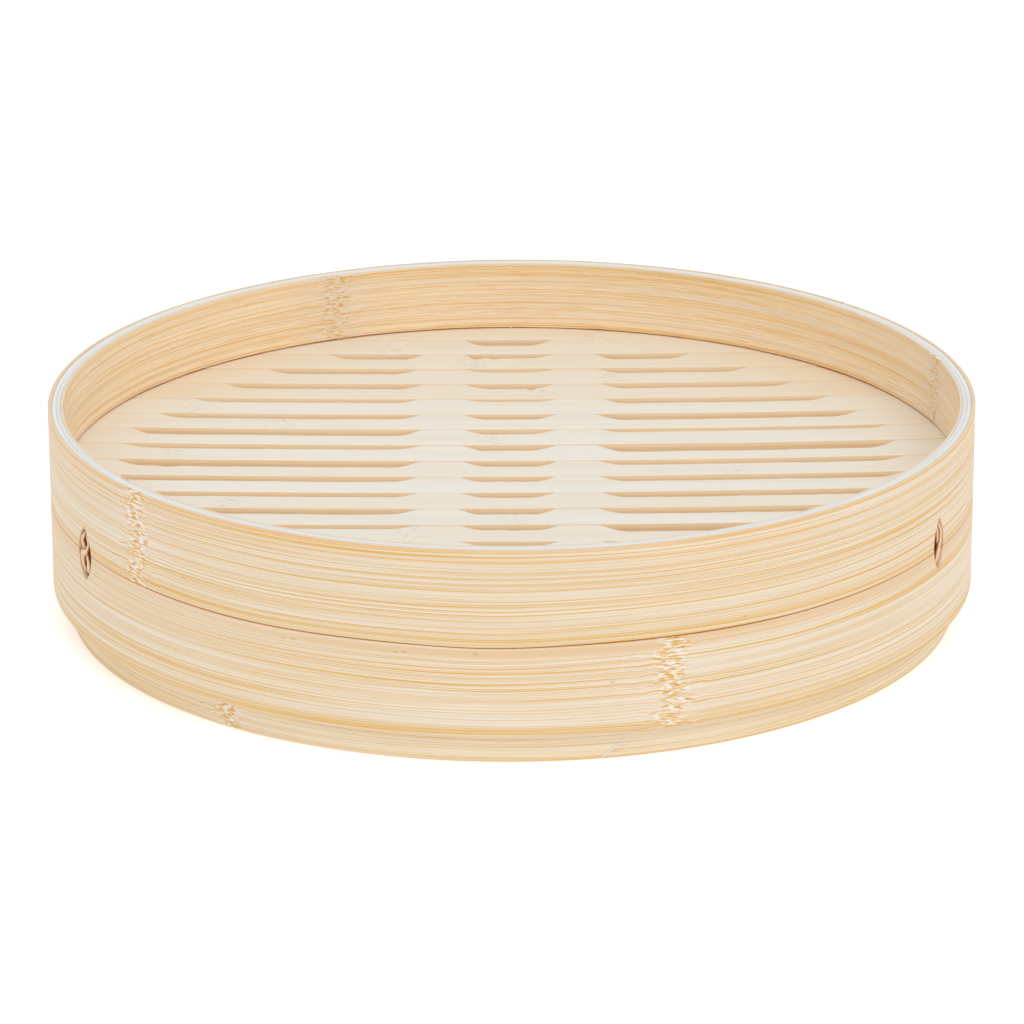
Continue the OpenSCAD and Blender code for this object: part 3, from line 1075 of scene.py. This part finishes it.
def add_bar(side, node, material):
    """A cross bar under the slats, with rounded edges, that ends in the foot."""
    low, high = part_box(node)
    width = (high.x - low.x) / MM
    height = (high.z - low.z) / MM
    profile = rounded_profile(width, height, BAR_ROUNDING, [height / 2])
    y = np.linspace(-FOOT_NECK_R, FOOT_NECK_R, 120)
    x = low.x / MM + profile[None, :, 0] + 0.0 * y[:, None]
    limit = np.sqrt(FOOT_NECK_R**2 - x**2) / FOOT_NECK_R
    z = low.z / MM + profile[None, :, 1] + 0.0 * y[:, None]
    z = z - floor_sag(x, y[:, None] * limit)
    rings = np.stack([x, y[:, None] * limit, z], axis=-1)
    uv = np.stack([rings[..., 1], profile[None, :, 0] + profile[None, :, 1] + 0.0 * y[:, None]], axis=-1)
    mesh = swept_mesh(f"bar_strip_{side}", rings, uv)
    add_piece(f"bar_strip_{side}", mesh, material, "bamboo_bar", node)


# -------- laces

# A lace's thickness, how round its section is (1 would be an ellipse), and its width inside the core
STRIP_T = 0.6
STRIP_CORNER = 0.6
RETURN_RUN_W = 1.8
LACE_STATIONS = 216
# Radii of the runs outside and inside the core, how far one outer run passes over the other, and how
# round the winding is at its top and bottom
OUTER_RUN_R = WALL_R - STRIP_T / 2 - 0.1
INNER_RUN_R = CORE_INNER_R - STRIP_T / 2 - 0.12
LIFT = 0.24
LEGS = 0.35
# The two outer runs of each lace, as (height, sideways, width) from the top down
LACE_RUNS = {
    "left": (
        [
            (6.5, -1.1, 1.8), (3.6, -2.8, 2.6), (1.2, -1.6, 2.6),
            (-0.8, 0.8, 2.0), (-3.4, 1.7, 2.8), (-6.5, 1.1, 1.8),
        ],
        [
            (6.5, 1.1, 1.8), (3.6, 2.7, 1.5), (1.2, 1.5, 1.8),
            (-0.8, -2.0, 3.4), (-3.0, -2.2, 3.2), (-6.5, -1.1, 2.4),
        ],
    ),
    "right": (
        [
            (6.5, -0.4, 1.6), (3.6, 0.2, 1.8), (1.2, 0.7, 2.0),
            (-1.0, 1.7, 1.6), (-3.4, 2.8, 1.2), (-6.5, 0.9, 1.6),
        ],
        [
            (6.5, 1.6, 1.8), (3.6, 2.5, 2.2), (1.2, 1.9, 2.0),
            (-1.0, 0.8, 2.4), (-3.0, 0.2, 3.0), (-6.5, -0.8, 2.4),
        ],
    ),
}
LACE_RUNS["back"] = LACE_RUNS["left"]


def signed_power(value, exponent):
    return np.sign(value) * np.abs(value) ** exponent


def along_run(level, run):
    """The place sideways and the width of a run at a height, eased from one given place to the next."""
    heights, sideways, widths = (np.array(values)[::-1] for values in zip(*run))
    count = np.arange(len(run))
    place = np.interp(level, heights, count)
    share = place % 1
    place = place - share + share**2 * (3 - 2 * share)
    return np.interp(place, count, sideways), np.interp(place, count, widths)


def lace_path(turn, runs):
    """Points of the winding, as (sideways, up, radius), and its width. A turn goes down outside the
    core and comes back up inside it."""
    angle = np.radians(turn)
    height = LACE_H / 2 * np.cos(angle)
    first = turn % 720 < 360
    outside = np.sin(angle) >= 0
    both_runs = zip(along_run(height, runs[0]), along_run(height, runs[1]))
    outer = [np.where(first, *pair) for pair in both_runs]
    foot = np.where(first, runs[0][-1][1], runs[1][-1][1])
    head = np.where(first, runs[1][0][1], runs[0][0][1])
    returning = foot + (head - foot) * (height / LACE_H + 0.5)
    sideways = np.where(outside, outer[0], returning)
    width = np.where(outside, outer[1], RETURN_RUN_W)
    middle = (OUTER_RUN_R + INNER_RUN_R) / 2
    radius = middle + (OUTER_RUN_R - INNER_RUN_R) / 2 * signed_power(np.sin(angle), LEGS)
    radius = radius + np.where(outside, np.where(first, -LIFT, LIFT) * np.sin(angle) ** 4, 0.0)
    return np.stack([sideways, height, radius], axis=-1), width


def unit(vectors):
    return vectors / np.linalg.norm(vectors, axis=-1, keepdims=True)


def add_lace(side, material):
    """A peeled strip wound twice through the wall, its two outer runs crossing in the middle."""
    azimuth, level = LACES[side]
    turn = np.linspace(0, 720, LACE_STATIONS, endpoint=False)
    step = 1.5
    runs = LACE_RUNS[side]
    centre, width = lace_path(turn, runs)
    along = unit(lace_path(turn + step, runs)[0] - lace_path(turn - step, runs)[0])
    angle = np.radians(turn)
    out = np.stack([0 * angle, np.cos(angle) / LACE_H, np.sin(angle) / (OUTER_RUN_R - INNER_RUN_R)], axis=-1)
    across = unit(np.cross(along, out))
    up = np.cross(across, along)
    around = np.radians(np.arange(15, 375, 30))
    share = signed_power(np.cos(around), STRIP_CORNER)
    flat = share[None, :, None] * width[:, None, None] / 2
    thick = signed_power(np.sin(around), STRIP_CORNER)[None, :, None] * STRIP_T / 2
    local = centre[:, None, :] + across[:, None, :] * flat + up[:, None, :] * thick
    bend = local[..., 0] / WALL_R + math.radians(azimuth)
    radius = local[..., 2]
    rings = np.stack([radius * np.cos(bend), radius * np.sin(bend), level + local[..., 1]], axis=-1)
    length = np.concatenate([[0], np.cumsum(np.linalg.norm(np.diff(centre, axis=0), axis=1))])
    uv = np.stack(np.broadcast_arrays(length[:, None], LACE_HALF * share[None, :]), axis=-1)
    mesh = swept_mesh(f"lace_strip_{side}", rings, uv, closed=True)
    add_piece(f"lace_strip_{side}", mesh, material, "bamboo_lace", f"lace_{side}")


# -------- floor of the studio, light, camera


def add_stage():
    """A plain pale floor under the basket."""
    half = 8.0
    paper = 0.97
    glow = 0.3
    mesh = bpy.data.meshes.new("studio_floor")
    corners = [(-half, -half, 0), (half, -half, 0), (half, half, 0), (-half, half, 0)]
    mesh.from_pydata(corners, [], [(0, 1, 2, 3)])
    floor = placed("studio_floor", mesh)
    material, tree = new_material("studio_paper")
    shader = tree.nodes["Principled BSDF"]
    shader.inputs["Base Color"].default_value = (paper, paper, paper, 1)
    shader.inputs["Roughness"].default_value = 0.9
    shader.inputs["Specular IOR Level"].default_value = 0.1
    shader.inputs["Emission Color"].default_value = (1, 1, 1, 1)
    shader.inputs["Emission Strength"].default_value = glow
    mesh.materials.append(material)


def add_light():
    """Even light from a pale room, and a large soft lamp high on the camera's right."""
    room_strength = 0.82
    lamp_strength = 0.8
    lamp_softness = math.radians(50)
    lamp_turn = (math.radians(38), 0, math.radians(20))
    world = bpy.data.worlds.new("studio")
    bpy.context.scene.world = world
    world.use_nodes = True
    sky = world.node_tree.nodes["Background"]
    sky.inputs["Color"].default_value = (1.0, 1.0, 1.0, 1.0)
    sky.inputs["Strength"].default_value = room_strength
    light = bpy.data.lights.new("key", "SUN")
    light.energy = lamp_strength
    light.angle = lamp_softness
    placed("key", light).rotation_euler = lamp_turn


def add_camera():
    """A long lens, a little above the rim, looking at the middle of the wall."""
    distance = 1.688
    elevation = math.radians(19.57)
    roll = math.radians(-0.243)
    focal_length = 181.5
    sensor_width = 36
    target = Vector((0, 0, 0.029))
    camera_data = bpy.data.cameras.new("camera")
    camera_data.sensor_width = sensor_width
    camera_data.lens = focal_length
    camera = placed("camera", camera_data)
    camera.location = target + Vector((0, -math.cos(elevation), math.sin(elevation))) * distance
    camera.rotation_euler = (target - camera.location).to_track_quat("-Z", "Y").to_euler()
    camera.rotation_euler.rotate_axis("Z", roll)
    bpy.context.scene.camera = camera
    bpy.context.scene.view_settings.view_transform = "Standard"


def build():
    add_bands(cut_edge("window_edge", *WINDOW_SHADES))
    add_cores(cut_edge("hole_edge", *HOLE_PAINTED_SHADE))
    add_lining()
    add_packing()
    add_foot()
    slat_bamboo = slat_material()
    for number in range(1, len(SLAT_NODES) + 1):
        add_slat(number, slat_bamboo)
    bar_shades = (tint(226, 198, 150), tint(214, 182, 130), tint(196, 156, 98))
    bar_bamboo = plain_bamboo("bar_bamboo", 61.0, *bar_shades)
    add_bar("left", "cross_bar_left", bar_bamboo)
    add_bar("right", "cross_bar_right", bar_bamboo)
    # The last of the lace's colours is painted shade along its sides
    lace_colours_and_side_shade = (tint(242, 216, 178), tint(236, 200, 152), tint(214, 150, 92), tint(176, 96, 44))
    lace_bamboo = plain_bamboo("lace_bamboo", 67.0, *lace_colours_and_side_shade)
    for side in LACES:
        add_lace(side, lace_bamboo)


build()
add_stage()
add_light()
add_camera()
